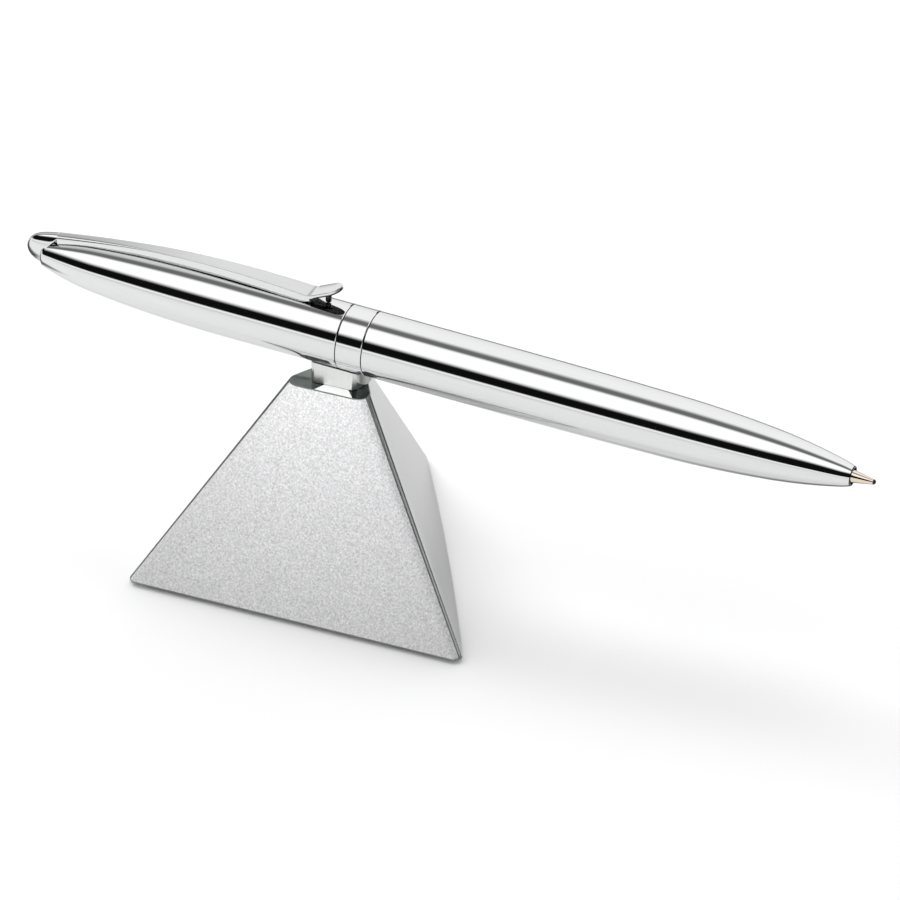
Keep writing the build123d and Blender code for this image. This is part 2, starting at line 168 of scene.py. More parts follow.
def makePiece(name, grids, finishNames, body, replaced, finishIndex=()):
    # grids = (points in mm, rows wrap round or not); the first ones may carry a finish number per face
    points, faces, faceFinishes, offset = [], [], [], 0
    for number, (grid, closeRows) in enumerate(grids):
        quads = quadIndex(grid.shape[0], grid.shape[1], closeRows)
        finish = finishIndex[number] if number < len(finishIndex) else 0
        faceFinishes.append(np.broadcast_to(finish, quads.shape[:2]).ravel())
        faces.append(quads.reshape(-1, 4) + offset)
        points.append(grid.reshape(-1, 3) * mm)
        offset += grid.shape[0] * grid.shape[1]
    mesh = bpy.data.meshes.new(name)
    mesh.from_pydata(np.concatenate(points), [], np.concatenate(faces).tolist())
    mesh.polygons.foreach_set("material_index", np.concatenate(faceFinishes))
    work = bmesh.new()
    work.from_mesh(mesh)
    bmesh.ops.remove_doubles(work, verts=work.verts, dist=meshing["join"])  # closes the poles
    bmesh.ops.dissolve_degenerate(work, edges=work.edges, dist=meshing["sliver"])
    bmesh.ops.recalc_face_normals(work, faces=work.faces)
    work.to_mesh(mesh)
    work.free()
    mesh.polygons.foreach_set("use_smooth", np.ones(len(mesh.polygons), dtype=bool))
    mesh.set_sharp_from_angle(angle=math.radians(meshing["crisp"]))
    for finishName in finishNames:
        mesh.materials.append(finishes[finishName])
    piece = addObject(name, mesh)
    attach(piece, body)
    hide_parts(*replaced)
    print("piece", name, len(mesh.polygons), "faces")


def addNode(tree, kind, inputs, **settings):
    # new shader node with its settings; an input is linked if its value is a socket, and set to it if not
    node = tree.nodes.new("ShaderNode" + kind)
    for key, value in settings.items():
        setattr(node, key, value)
    for key, value in inputs.items():
        if isinstance(value, bpy.types.NodeSocket):
            tree.links.new(value, node.inputs[key])
        else:
            node.inputs[key].default_value = value
    return node


# grain: roughness and usual detail of its noise, and the levels of it that count
grainNoise = {"roughness": 0.6, "detail": 2.0, "levels": (0.25, 0.75)}
colourSockets, valueSockets = (6, 7, 2), (2, 3, 0)  # of a mix node: first, second, result


def grainFinish(name, look):
    # one noise, as long and as wide as the grain, varies tone, roughness and height
    material = bpy.data.materials.new(name)
    material.use_nodes = True
    tree = material.node_tree
    shader = tree.nodes["Principled BSDF"]
    place = addNode(tree, "TexCoord", {})
    turned = addNode(tree, "Mapping", {
        "Vector": place.outputs["Object"], "Rotation": (0.0, look.get("turn", 0.0), 0.0),
        "Scale": [size * mm for size in look["grain"]],
    }, vector_type="TEXTURE")
    grain = addNode(tree, "TexNoise", {
        "Vector": turned.outputs["Vector"], "Scale": 1.0,
        "Detail": look.get("detail", grainNoise["detail"]), "Roughness": grainNoise["roughness"],
    }).outputs["Fac"]
    tone = addNode(tree, "Mix", {
        "Factor": grain, colourSockets[0]: (*look["dark"], 1.0),
        colourSockets[1]: (*look["light"], 1.0),
    }, data_type="RGBA")
    rough = addNode(tree, "MapRange", {
        "Value": grain, "From Min": grainNoise["levels"][0], "From Max": grainNoise["levels"][1],
        "To Min": look["rough"][0], "To Max": look["rough"][1],
    })
    bump = addNode(tree, "Bump", {"Height": grain, "Distance": look["bump"] * mm})
    tree.links.new(tone.outputs[colourSockets[2]], shader.inputs["Base Color"])
    tree.links.new(rough.outputs["Result"], shader.inputs["Roughness"])
    tree.links.new(bump.outputs["Normal"], shader.inputs["Normal"])
    shader.inputs["Metallic"].default_value = look.get("metallic", 1.0)
    edge = look.get("edgeTint", 1.0)
    shader.inputs["Specular Tint"].default_value = (edge, edge, edge, 1.0)
    return material


# finishes: grain sizes and bump heights in mm; metallic, and without an edge tint, unless they say otherwise
finishLooks = {
    "chromePen": {"grain": (45, 0.5, 0.5), "turn": penSlope, "dark": (0.64, 0.645, 0.65),
                  "light": (0.70, 0.70, 0.70), "rough": (0.03, 0.07), "bump": 0.0004, "edgeTint": 0.75},
    "chromeClip": {"grain": (20, 0.4, 0.4), "turn": penSlope, "dark": (0.54, 0.545, 0.55),
                   "light": (0.61, 0.61, 0.61), "rough": (0.05, 0.1), "bump": 0.0004, "edgeTint": 0.7},
    "chromeCrown": {"grain": (1.5, 1.5, 1.5), "turn": penSlope, "dark": (0.64, 0.645, 0.65),
                    "light": (0.70, 0.70, 0.70), "rough": (0.04, 0.09), "bump": 0.0004, "edgeTint": 0.12},
    "satinPost": {"grain": (0.25, 0.25, 9), "dark": (0.62, 0.635, 0.62), "light": (0.74, 0.745, 0.735),
                  "rough": (0.28, 0.4), "bump": 0.002},
    "chromePost": {"grain": (0.6, 0.6, 12), "dark": (0.40, 0.415, 0.405), "light": (0.48, 0.49, 0.48),
                   "rough": (0.05, 0.1), "bump": 0.0004, "edgeTint": 0.4},
    "blastedMetal": {"grain": (0.29, 0.29, 0.29), "detail": 3.0, "dark": (0.15, 0.15, 0.165),
                     "light": (0.98, 0.98, 0.98), "rough": (0.4, 0.62), "bump": 0.04, "metallic": 0.45},
    "polishedMetal": {"grain": (3, 3, 3), "detail": 3.0, "dark": (0.73, 0.74, 0.735),
                      "light": (0.80, 0.80, 0.80), "rough": (0.10, 0.16), "bump": 0.0006,
                      "edgeTint": 0.56},
    # dark polished metal: painted shade that draws thin dark outlines along edges and corners
    "edgePaintedShade": {"grain": (2, 2, 2), "dark": (0.20, 0.215, 0.21), "light": (0.32, 0.33, 0.325),
                     "rough": (0.14, 0.24), "bump": 0.0006, "edgeTint": 0.2},
    # dark top: painted reflection of the pen's underside and dark surroundings
    "topPaintedReflection": {"grain": (2, 2, 2), "dark": (0.14, 0.16, 0.15), "light": (0.21, 0.23, 0.22),
                "rough": (0.08, 0.14), "bump": 0.0006, "edgeTint": 0.5},
    # pale strip on the top: painted reflection of the post's light front
    "stripPaintedReflection": {"grain": (1.5, 1.5, 1.5), "dark": (0.90, 0.905, 0.90), "light": (0.97, 0.97, 0.97),
                "rough": (0.3, 0.38), "bump": 0.0006, "metallic": 0.5},
    "tipAlloy": {"grain": (0.3, 0.06, 0.06), "turn": penSlope, "dark": (0.66, 0.57, 0.48),
                 "light": (0.76, 0.67, 0.58), "rough": (0.05, 0.1), "bump": 0.0003, "edgeTint": 0.3},
    # the ball's own near-black carbide; the same finish also serves as painted shade on the mouth ring, the
    # nub and the tongue's underside
    "carbideAndPaintedShade": {"grain": (0.2, 0.2, 0.2), "dark": (0.02, 0.02, 0.02), "light": (0.07, 0.07, 0.07),
                    "rough": (0.18, 0.3), "bump": 0.0003},
    "turnedSteel": {"grain": (0.5, 4, 4), "dark": (0.48, 0.48, 0.49), "light": (0.64, 0.64, 0.65),
                    "rough": (0.25, 0.4), "bump": 0.002},
    "turnedBrass": {"grain": (0.4, 5, 5), "turn": penSlope, "dark": (0.70, 0.53, 0.24),
                    "light": (0.86, 0.70, 0.38), "rough": (0.2, 0.34), "bump": 0.002},
    "nickelPlate": {"grain": (1.2, 1.2, 1.2), "dark": (0.66, 0.64, 0.60), "light": (0.76, 0.74, 0.70),
                    "rough": (0.12, 0.2), "bump": 0.001},
    "mouldedPlastic": {"grain": (0.3, 0.3, 0.3), "dark": (0.76, 0.76, 0.74), "light": (0.86, 0.86, 0.84),
                       "rough": (0.4, 0.55), "bump": 0.004, "metallic": 0.0},
    "penInk": {"grain": (4, 1, 1), "turn": penSlope, "dark": (0.015, 0.02, 0.12),
               "light": (0.03, 0.04, 0.2), "rough": (0.1, 0.2), "bump": 0.001, "metallic": 0.0},
    "padRubber": {"grain": (0.5, 0.5, 0.5), "detail": 4.0, "dark": (0.02, 0.02, 0.02),
                  "light": (0.045, 0.045, 0.045), "rough": (0.7, 0.9), "bump": 0.03, "metallic": 0.0},
}
finishes = {name: grainFinish(name, look) for name, look in finishLooks.items()}
cadFinishes = {
    "turnedSteel": ("base_plate", "base_plate_screws", "post_washer", "post_screw",
                    "guide_sleeve", "drive_pin"),
    "turnedBrass": ("barrel_bush", "refill_tube"), "nickelPlate": ("magnet",), "padRubber": ("base_pad",),
    "mouldedPlastic": ("cam_sleeve", "drive_plunger", "refill_plug"), "penInk": ("ink_column",),
}
for finishName, nodeNames in cadFinishes.items():
    for nodeName in nodeNames:
        for materialSlot in cadNodes[nodeName].material_slots:
            materialSlot.material = finishes[finishName]
print("finishes made:", len(finishes))

# frustum: (width, depth, front) in mm of the triangle at the rim and at the top, turns in degrees
frustum = {
    "rim": (56.4, 51.0, -16.9), "rimCorner": 1.2, "rimHeight": 0.3, "rimRound": 0.3,
    "top": (15.4, 12.6, -3.7), "topCorner": 1.8, "topHeight": 33.5, "topRound": 0.2,
    # the turns beyond the blasted ones that take the dark edge finish are painted shade; the span across of
    # the pale strip on the top is painted reflection
    "blasted": (-50.0, 55.0), "paintedShadeTurns": (-86.0, 92.0), "front": (-0.1, 0.1), "paintedStripReach": (-1.8, 4.4),
    "bow": 0.6, "innerBow": 0.1, "innerCorner": 0.8,
    "rimWall": 1.8, "ledgeWidth": 1.6, "cavityWall": 2.2, "plateTop": 3.0, "cavityTop": 25.0,
    "spigotHole": 3.05, "spigotFloor": 28.45, "screwHole": 1.6, "plateGap": 0.1,
    "bossReach": 0.60, "bossRadius": 2.6, "bossTop": 9.0, "bossBore": 1.35, "boreTop": 7.1,
    "frontSteps": 40, "cornerSteps": 14, "rearSteps": 40, "roundSteps": 9, "bossSteps": 32,
    "wallShares": (0.01, 0.25, 0.5, 0.75, 0.99), "topShares": (0.05, 1.0),
    "finishes": ("blastedMetal", "polishedMetal", "edgePaintedShade", "topPaintedReflection", "stripPaintedReflection"),
}


def insetTriangle(section, inset):
    # the same triangle with its sides moved inwards: every length shrinks by 1 - inset / inscribed radius
    width, depth, front = section
    side = math.hypot(width / 2, depth)
    scale = 1.0 - inset * (width + 2 * side) / (width * depth)
    return (width * scale, depth * scale, front + inset)


def frustumSection(height):
    # rim section and top section mixed by the share of the height between them
    share = (height - frustum["rimHeight"]) / (frustum["topHeight"] - frustum["rimHeight"])
    return tuple(np.array(frustum["rim"]) * (1 - share) + np.array(frustum["top"]) * share)


def triangleOutline(section, corner, bow):
    # straight front edge, right corner, bowed rear edge, back corner, and the same mirrored
    width, depth, front = section
    side = math.hypot(width / 2, depth)
    arcRadius = (side * side / 4 + bow * bow) / (2 * bow)
    outward = np.array([depth, width / 2]) / side
    arcCentre = np.array([width / 4, front + depth / 2]) + outward * (bow - arcRadius)
    reach = arcRadius - corner
    cornerY = front + corner
    cornerX = arcCentre[0] + math.sqrt(reach ** 2 - (cornerY - arcCentre[1]) ** 2)
    backY = arcCentre[1] + math.sqrt(reach ** 2 - arcCentre[0] ** 2)
    rearStart = math.atan2(cornerY - arcCentre[1], cornerX - arcCentre[0])
    rearEnd = math.atan2(backY - arcCentre[1], -arcCentre[0])
    turning = np.linspace(0, 1, frustum["cornerSteps"] + 1)[:-1]
    rear = easedSteps(frustum["rearSteps"] + 1)[:-1]
    return frontedOutline(cornerX, front, frustum["frontSteps"], [
        ((cornerX, cornerY), corner, -math.pi / 2, rearStart, turning),
        (arcCentre, arcRadius, rearStart, rearEnd, rear),
        ((0.0, backY), corner, rearEnd, math.pi - rearEnd, turning),
        ((-arcCentre[0], arcCentre[1]), arcRadius, math.pi - rearEnd, math.pi - rearStart, rear),
        ((-cornerX, cornerY), corner, math.pi - rearStart, 1.5 * math.pi, turning),
    ])


def innerOutline(section, inset, bow):
    # outline of a hollow: the section moved inwards, with the corners of the inside
    return triangleOutline(insetTriangle(section, inset), frustum["innerCorner"], bow)[0]


def circleFacing(outline, centre, radius):
    # circle whose points stand in the same directions from its centre as the outline's points do
    offset = outline - centre
    return centre + offset * (radius / np.linalg.norm(offset, axis=1, keepdims=True))


def frustumGrid():
    # closed stack of outlines: rim, leaning walls, top, spigot hole, hollow, recess of the foot
    f = frustum
    rim, rimNormal = triangleOutline(f["rim"], f["rimCorner"], f["bow"])
    top, topNormal = triangleOutline(f["top"], f["topCorner"], f["bow"] * f["top"][0] / f["rim"][0])
    lean = np.arctan2(np.sum((rim - top) * rimNormal, axis=1), f["topHeight"] - f["rimHeight"])
    outlines, heights = [], []
    share = np.linspace(0.0, 1.0, f["roundSteps"])
    rimBack = f["rimRound"] * (1 + np.sin(lean)) / np.cos(lean)
    for q in share:  # rounded rim: the normal turns from straight down to the lean of the wall
        tilt = -math.pi / 2 + (lean + math.pi / 2) * q
        outlines.append(rim + rimNormal * (f["rimRound"] * np.cos(tilt) - rimBack)[:, None])
        heights.append(f["rimHeight"] + f["rimRound"] * (1 + np.sin(tilt)))
    topBack = f["topRound"] * (1 - np.sin(lean)) / np.cos(lean)
    topOutlines, topHeights = [], []
    for q in share:  # rounded top edge: the normal turns from the lean of the wall to straight up
        tilt = lean + (math.pi / 2 - lean) * q
        topOutlines.append(top + topNormal * (f["topRound"] * np.cos(tilt) - topBack)[:, None])
        topHeights.append(f["topHeight"] - f["topRound"] * (1 - np.sin(tilt)))
    wallStart = len(outlines) - 1
    lowOutline, lowHeight = outlines[-1], heights[-1]
    for q in f["wallShares"]:
        outlines.append(lowOutline * (1 - q) + topOutlines[0] * q)
        heights.append(lowHeight * (1 - q) + topHeights[0] * q)
    wallEnd = len(outlines)
    outlines += topOutlines
    heights += topHeights
    postCentre = postPoint[:2]
    spigot = circleFacing(top, postCentre, f["spigotHole"])
    screw = circleFacing(top, postCentre, f["screwHole"])
    cavity = innerOutline(frustumSection(f["cavityTop"]), f["cavityWall"], f["innerBow"])
    ledge = innerOutline(frustumSection(f["plateTop"]), f["rimWall"] + f["ledgeWidth"], f["innerBow"])
    recess = innerOutline(f["rim"], f["rimWall"], f["bow"])
    outlines += [topOutlines[-1] * (1 - q) + spigot * q for q in f["topShares"]]
    outlines += [spigot, screw, screw, cavity, ledge, recess, recess]
    heights += [f["topHeight"]] * len(f["topShares"])
    heights += [f["spigotFloor"], f["spigotFloor"], f["cavityTop"],
                f["cavityTop"], f["plateTop"], f["plateTop"], f["rimHeight"]]
    grid = levelRows(outlines, heights)
    return grid, frustumFinish(rimNormal, top, grid.shape[:2], wallStart, wallEnd)


def between(value, limits):
    # true where the value lies inside the two limits
    return (value > limits[0]) & (value < limits[1])


def frustumFinish(rimNormal, top, shape, wallStart, wallEnd):
    # finish of each face by how far its wall has turned from the front, in degrees to the right: blasted
    # round both front corners, a dark edge finish as painted shade on the corner bands beyond and on the
    # rounded rim and top edge, polished rear walls, a top darkened as painted reflection with a pale strip in
    # front as painted reflection
    f = frustum
    blasted, polished, edge, dark, pale = range(len(f["finishes"]))
    facing = rimNormal + np.roll(rimNormal, -1, axis=0)
    turn = np.degrees(np.arctan2(facing[:, 0], -facing[:, 1]))
    # painted shade: the corner bands beyond the blasted front take the dark edge finish
    wall = np.where(between(turn, f["paintedShadeTurns"]), edge, polished)
    wall = np.where(between(turn, f["blasted"]), blasted, wall)
    middle = (top[:, 0] + np.roll(top[:, 0], -1)) / 2
    inStrip = between(turn, f["front"]) & between(middle, f["paintedStripReach"])
    finish = np.full(shape, polished)
    # painted shade: the rounded rim and the rounded top edge take the dark edge finish
    finish[:wallStart] = edge
    finish[wallStart:wallEnd] = wall
    topStart = wallEnd + f["roundSteps"] - 1
    finish[wallEnd:topStart] = edge
    # painted reflection: the top is dark, and the strip in front of the post is pale
    finish[topStart:topStart + len(f["topShares"])] = np.where(inStrip, pale, dark)
    return finish


def bossCentres():
    # points a part of the way from the middle of the plate's triangle, where its inscribed circle has its
    # centre, to each of its corners
    width, depth, front = insetTriangle(frustum["rim"], frustum["rimWall"] + frustum["plateGap"])
    middle = np.array([0.0, front + width * depth / (width + 2 * math.hypot(width / 2, depth))])
    corners = np.array([(-width / 2, front), (width / 2, front), (0.0, front + depth)])
    return middle + (corners - middle) * frustum["bossReach"]


def bossGrid(centre):
    # blind boss for a plate screw: rings of a few radii at a few heights, closed by a pole at its bore's end
    f = frustum
    ring = unitTurn(evenTurn(f["bossSteps"]))
    radii = [0.0, f["bossBore"], f["bossBore"], f["bossRadius"], f["bossRadius"], 0.0]
    heights = [f["boreTop"], f["boreTop"], f["plateTop"], f["plateTop"], f["bossTop"], f["bossTop"]]
    return levelRows([centre + ring * radius for radius in radii], heights)


bodyGrid, bodyFinish = frustumGrid()
makePiece("frustum_shell", [(bodyGrid, True)] + [(bossGrid(centre), False) for centre in bossCentres()],
          frustum["finishes"], "stand", ["pyramid_body"], [bodyFinish])

# post: round with two flats, hollowed on top for the barrel; a face belongs to a flat if its outward
# normal has more than flatFacing of its length across the pen
post = {
    "radius": 4.5, "flat": 3.25, "edgeRound": 0.25, "foot": 33.5, "footRound": 0.12, "lipRound": 0.12,
    "cradle": 5.1, "magnetHole": 2.45, "magnetFloor": 32.8,
    "spigot": 3.0, "spigotEnd": 28.5, "screwHole": 1.6, "screwHoleTop": 31.0,
    "flatSteps": 24, "cornerSteps": 6, "endSteps": 32, "cradleRows": 9, "lipRows": 5, "footRows": 5,
    "wallShares": (0.02, 0.5, 0.98), "flatFacing": 0.6,
    "finishes": ("satinPost", "chromePost", "edgePaintedShade"),
}


def postOutline():
    # flat, small corner, round end, small corner, and the same turned half round
    r = post["edgeRound"]
    cornerY = post["flat"] - r
    cornerX = math.sqrt((post["radius"] - r) ** 2 - cornerY ** 2)
    meet = math.atan2(cornerY, cornerX)
    corner = np.linspace(0, 1, post["cornerSteps"] + 1)[:-1]
    end = np.linspace(0, 1, post["endSteps"] + 1)[:-1]
    half, normal = frontedOutline(cornerX, -post["flat"], post["flatSteps"], [
        ((cornerX, -cornerY), r, -math.pi / 2, -meet, corner),
        ((0.0, 0.0), post["radius"], -meet, meet, end),
        ((cornerX, cornerY), r, meet, math.pi / 2, corner),
    ])
    return np.concatenate([half, -half]) + postPoint[:2], np.concatenate([normal, -normal])


def cradleHeight(plan):
    # height of the hollow over a point in plan: the axis less the drop of a cylinder's underside
    along, across = (plan - postPoint[:2]).T
    drop = np.sqrt(post["cradle"] ** 2 - across ** 2)
    return postPoint[2] - (drop + penUp[0] * along) / penUp[2]


def postGrid():
    # stack of outlines: magnet's hole, cradle, rounded lip, upright wall, rounded foot, spigot, screw hole
    p = post
    outline, normal = postOutline()
    centre = np.broadcast_to(postPoint[:2], outline.shape)
    hole = circleFacing(outline, postPoint[:2], p["magnetHole"])
    spigot = circleFacing(outline, postPoint[:2], p["spigot"])
    screw = circleFacing(outline, postPoint[:2], p["screwHole"])
    outlines = [centre, hole]
    heights = [p["magnetFloor"], p["magnetFloor"]]
    lipEdge = outline - normal * p["lipRound"]
    for q in np.linspace(0, 1, p["cradleRows"]):
        outlines.append(hole * (1 - q) + lipEdge * q)
        heights.append(cradleHeight(outlines[-1]))
    for tilt in np.linspace(math.pi / 2, 0, p["lipRows"] + 1)[1:]:  # rounded lip of the cradle
        outlines.append(outline - normal * p["lipRound"] * (1 - math.cos(tilt)))
        heights.append(cradleHeight(outlines[-1]) - p["lipRound"] * (1 - math.sin(tilt)))
    lipHeight = heights[-1]
    footTop = p["foot"] + p["footRound"]
    for q in p["wallShares"]:
        outlines.append(outline)
        heights.append(lipHeight * (1 - q) + footTop * q)
    footStart = len(outlines)
    for tilt in quarterTurn(p["footRows"]):  # rounded foot
        outlines.append(outline - normal * p["footRound"] * (1 - math.cos(tilt)))
        heights.append(footTop - p["footRound"] * math.sin(tilt))
    outlines += [spigot, spigot, screw, screw, centre]
    heights += [p["foot"], p["spigotEnd"], p["spigotEnd"], p["screwHoleTop"], p["screwHoleTop"]]
    grid = levelRows(outlines, heights)
    satin, chrome, edge = range(len(p["finishes"]))
    onFlat = np.abs(normal[:, 1] + np.roll(normal[:, 1], -1)) / 2 > p["flatFacing"]
    finish = np.tile(np.where(onFlat, satin, chrome), (grid.shape[0] - 1, 1))
    # painted shade: the rounded foot takes the dark edge finish for the gap under the post
    finish[footStart:footStart + p["footRows"]] = edge
    return grid, finish


cradleGrid, cradleFinish = postGrid()
makePiece("cradle_post", [(cradleGrid, False)], post["finishes"],
          "stand", ["post"], [cradleFinish])

# pen casing: (station, radius) in mm, with a near-black ring round the writing point as painted shade of the
# gap between mouth and cone
casing = {
    "radius": 5.0, "chamfer": 0.10, "bushBore": 4.2,
    "back": (2.7, 1.89), "nose": (11.9, 3.9), "full": (33.7, 5.0), "studBore": 1.05,
    "camBore": 3.6, "camBoreStart": 15.5, "camBoreEnd": 45.9,
    "upperEnd": 52.8, "bandStart": 52.9, "bandEnd": 57.0, "lowerStart": 57.1, "bushEnd": 69.5,
    "gripStart": (78.0, 5.0), "grip": (105.0, 4.74), "taper": (120.3, 3.83),
    "lip": (131.4, 2.0), "mouth": (133.0, 1.5), "mouthBore": 1.3, "refillBore": 2.6, "refillBoreEnd": 122.0,
    "backRound": 1.0, "backStep": 0.02, "paintedShadeRing": 0.2,
    "lowerSteps": (24, 20, 24, 12), "shoulderSteps": 30, "backSteps": 40, "edgeSteps": 8, "turnSteps": 144,
}


def chamferedEnd(station, way):
    # (station, radius - chamfer), then (station + chamfer the given way, radius)
    c = casing
    return [(station, c["radius"] - c["chamfer"]), (station + way * c["chamfer"], c["radius"])]


def lowerBarrelProfile():
    # straight tube, then four arcs that follow on from each other to the lip, then the stepped bore
    c = casing
    rows = [chamferedEnd(c["lowerStart"], 1), [(c["lowerStart"] + 2 * c["chamfer"], c["radius"])]]
    heading = (1.0, 0.0)
    start = c["gripStart"]
    for end, count in zip((c["grip"], c["taper"], c["lip"], c["mouth"]), c["lowerSteps"]):
        arc, heading = tangentArc(start, end, heading, count)
        rows.append(arc[:-1])
        start = end
    rows.append([c["mouth"], (c["mouth"][0], c["mouthBore"]), (c["refillBoreEnd"], c["mouthBore"]),
                 (c["refillBoreEnd"], c["refillBore"]), (c["bushEnd"], c["refillBore"]),
                 (c["bushEnd"], c["bushBore"]), (c["lowerStart"], c["bushBore"])])
    return np.concatenate([np.array(row) for row in rows])


def bandProfile():
    # short tube with a chamfer at each end
    c = casing
    return np.array([(c["bandStart"], c["bushBore"]), *chamferedEnd(c["bandStart"], 1),
                     *chamferedEnd(c["bandEnd"], -1)[::-1], (c["bandEnd"], c["bushBore"])])


def upperBarrelProfile():
    # rounded back edge, two arcs to the full radius, straight tube, chamfered end, stepped bore
    c = casing
    shoulder, heading = tangentArc(c["full"], c["nose"], (-1.0, 0.0), c["shoulderSteps"])
    back, heading = tangentArc(c["nose"], c["back"], heading, c["backSteps"])
    outer = np.concatenate([back[::-1], shoulder[::-1][1:]])
    slope = math.atan2(-heading[1], -heading[0])
    edgeEnd = c["back"][0] + c["backRound"] * (1 - math.sin(slope))
    edgeCentre = np.interp(edgeEnd, outer[:, 0], outer[:, 1]) - c["backRound"] * math.cos(slope)
    tilt = np.linspace(0.0, math.pi / 2 - slope, c["edgeSteps"])
    edge = pairUp(c["back"][0] + c["backRound"] * (1 - np.cos(tilt)),
                  edgeCentre + c["backRound"] * np.sin(tilt))
    outer = np.concatenate([edge, outer[outer[:, 0] > edgeEnd + c["backStep"]]])
    rest = np.array([
        (c["upperEnd"] - 2 * c["chamfer"], c["radius"]), *chamferedEnd(c["upperEnd"], -1)[::-1],
        (c["upperEnd"], c["bushBore"]),
        (c["camBoreEnd"], c["bushBore"]), (c["camBoreEnd"], c["camBore"]),
        (c["camBoreStart"], c["camBore"]), (c["camBoreStart"], c["studBore"]), (c["back"][0], c["studBore"]),
    ])
    return np.concatenate([outer, rest])


upperProfile = upperBarrelProfile()
lowerProfile = lowerBarrelProfile()
# painted shade: the last part of the mouth takes the near-black finish
mouthPaintedShade = np.where(lowerProfile[:, :1] > casing["mouth"][0] - casing["paintedShadeRing"], 1, 0)
makePiece("barrel_lower", [(revolve(lowerProfile, casing["turnSteps"]), True)], ["chromePen", "carbideAndPaintedShade"],
          "pen", ["lower_barrel"], [mouthPaintedShade])
makePiece("barrel_band", [(revolve(bandProfile(), casing["turnSteps"]), True)], ["chromePen"],
          "pen", ["centre_band"])
makePiece("barrel_upper", [(revolve(upperProfile, casing["turnSteps"]), True)], ["chromePen"],
          "cap", ["upper_barrel"])

# clip: arched strap with a straight neck, a flare and an upturned round tongue; foldReach and thinReach
# count in bends, spineEnd in lengths of the round end
clip = {
    "root": (3.45, 3.75), "middle": (27.0, 6.47), "fold": (46.8, 6.17),
    "neckHalf": 0.9, "neckEnd": 18.0, "fullHalf": 1.6, "deepest": 1.55, "hollow": 0.3, "tongueThickness": 0.6,
    "tongueReach": 4.6, "tongueAngle": 26.0, "bend": 0.7, "foldReach": 1.5, "thinReach": 2.0,
    "edgeRound": 0.1, "underEdge": 0.125, "spineEnd": 0.8,
    "rootRound": (0.88, 0.55), "roundEnd": 26.0, "start": 1.7,
    "nubReach": 2.7, "nubRadius": 0.45, "nubFoot": 5.1, "gap": 0.12,
    "pathSteps": 1201, "archSteps": 90, "foldSteps": 25, "tongueSteps": 6, "endSteps": 26,
    "upperRows": 13, "lowerRows": 7, "nubRows": 9, "nubSteps": 40,
    "finishes": ("chromeClip", "carbideAndPaintedShade", "chromePen"),
}
archCentre, archRadius = circleThrough(clip["root"], clip["middle"], clip["fold"])


def archHeight(station):
    # top line of the strap before the fold: a circle's upper side
    return archCentre[1] + np.sqrt(archRadius ** 2 - (station - archCentre[0]) ** 2)


def clipPath():
    # heading along the strap = the arch's own, plus a smooth turn at the fold; places are its running sum
    c = clip
    rootAngle = math.atan2(*(np.array(c["root"]) - archCentre)[::-1])
    foldAngle = math.atan2(*(np.array(c["fold"]) - archCentre)[::-1])
    archLength = archRadius * (rootAngle - foldAngle)
    tongueAngle = math.radians(c["tongueAngle"])
    tongueLength = c["tongueReach"] / math.cos(tongueAngle)
    length = np.linspace(0.0, archLength + tongueLength, c["pathSteps"])
    heading = rootAngle - math.pi / 2 - np.minimum(length, archLength) / archRadius
    turn = tongueAngle - (foldAngle - math.pi / 2)
    heading = heading + turn * smoothRise(length, archLength - c["bend"], archLength + c["bend"])
    middle = (heading[1:] + heading[:-1]) / 2
    step = length[1] - length[0]
    station = c["root"][0] + np.concatenate([[0.0], np.cumsum(np.cos(middle) * step)])
    height = c["root"][1] + np.concatenate([[0.0], np.cumsum(np.sin(middle) * step)])
    return length, station, height, heading


pathLength, pathStation, pathHeight, pathHeading = clipPath()
foldLength = np.interp(clip["fold"][0], pathStation, pathLength)


def strapHalf(length):
    # half width: straight neck, then an even flare up to the fold
    c = clip
    neckLength = np.interp(c["neckEnd"], pathStation, pathLength)
    return c["neckHalf"] + (c["fullHalf"] - c["neckHalf"]) * np.clip(
        (length - neckLength) / (foldLength - neckLength), 0.0, 1.0)


def strapDepth(length):
    # depth of the sides: from the strap's top line down to a small gap above the barrel beside it
    station = np.minimum(np.interp(length, pathLength, pathStation), clip["fold"][0])
    outer = upperProfile[:, 1].argmax() + 1  # rows of the profile up to the full radius
    radius = np.interp(station, upperProfile[:outer, 0], upperProfile[:outer, 1])
    beside = np.sqrt(radius ** 2 - strapHalf(length) ** 2)
    return np.minimum(archHeight(station) - beside - clip["gap"], clip["deepest"])


def strapPoints(length, across, depth):
    # point = place on the path + distance across + depth under the top, square to the path
    station = np.interp(length, pathLength, pathStation)
    height = np.interp(length, pathLength, pathHeight)
    heading = np.interp(length, pathLength, pathHeading)
    return penPoints(station + depth * np.sin(heading), across, height - depth * np.cos(heading))


